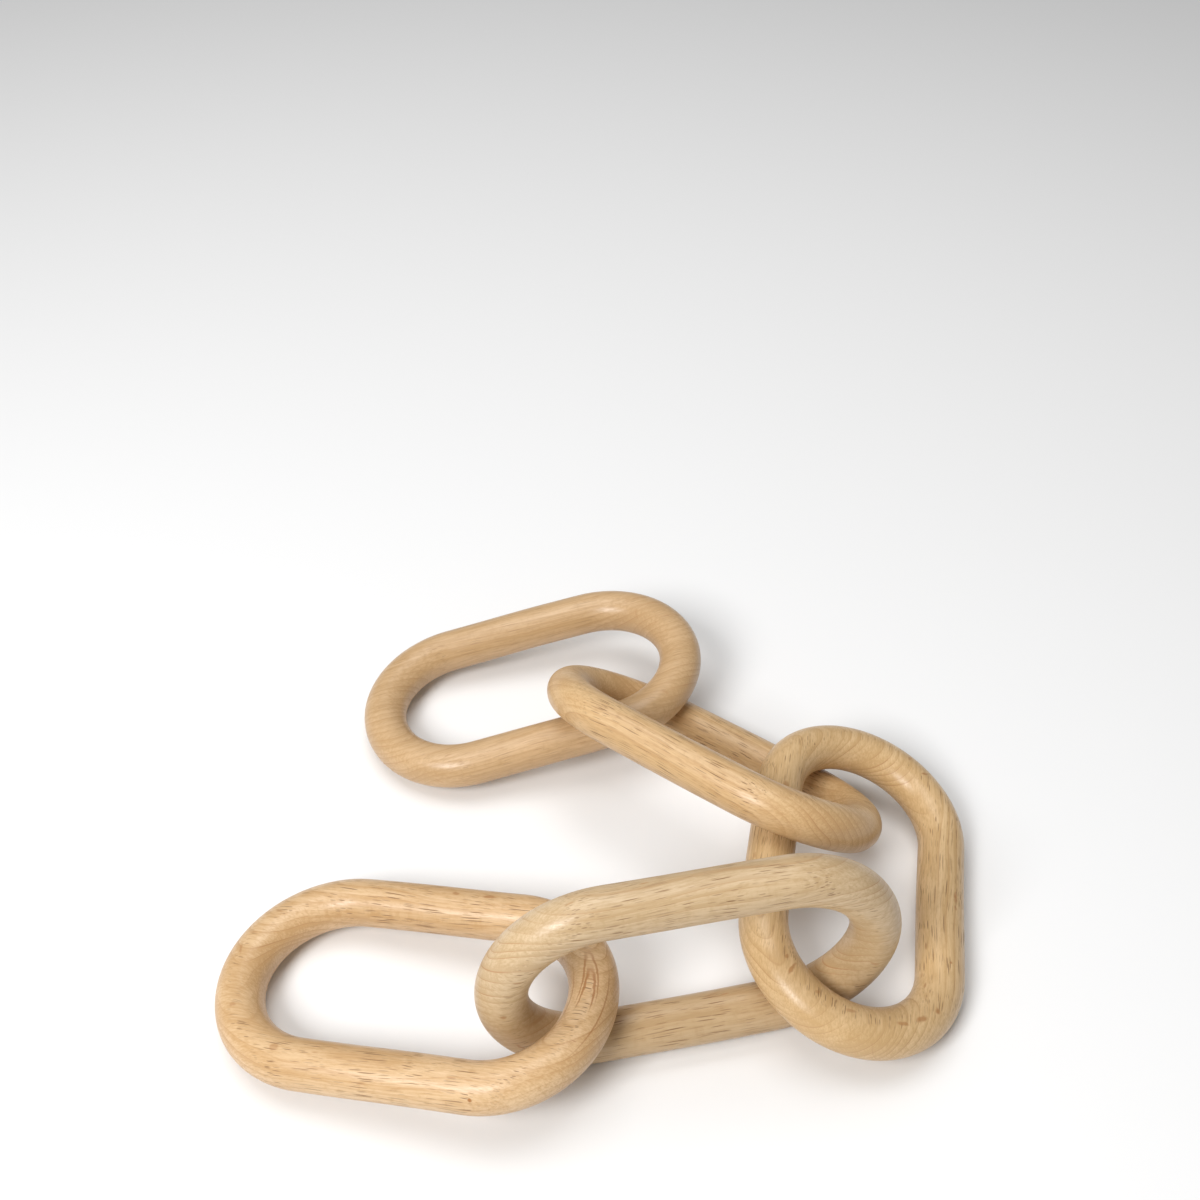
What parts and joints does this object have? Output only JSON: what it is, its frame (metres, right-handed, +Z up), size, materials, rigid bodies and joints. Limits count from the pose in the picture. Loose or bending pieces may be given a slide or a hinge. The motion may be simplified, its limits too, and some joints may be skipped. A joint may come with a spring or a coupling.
{
  "type": "wooden chain",
  "caption": "Decorative chain of large oval links in round, satin-sanded beech rod, lying loose in a hairpin, with a link standing on its rail.",
  "frame": {"origin": "middle of the chain's footprint, on the surface it lies on", "axes": "+X to the right along the longer side of the footprint, +Y to the back, +Z up"},
  "size_m": [0.2498, 0.2276, 0.078],
  "materials": {
    "beech_end_front": "satin",
    "beech_standing": "satin",
    "beech_corner": "satin",
    "beech_leaning": "satin",
    "beech_end_back": "satin"
  },
  "bodies": {
    "root": {"end_link_front": "beech_end_front", "standing_link_front": "beech_standing", "corner_link_right": "beech_corner", "leaning_link_back": "beech_leaning", "end_link_back": "beech_end_back"}
  },
  "joints": []
}
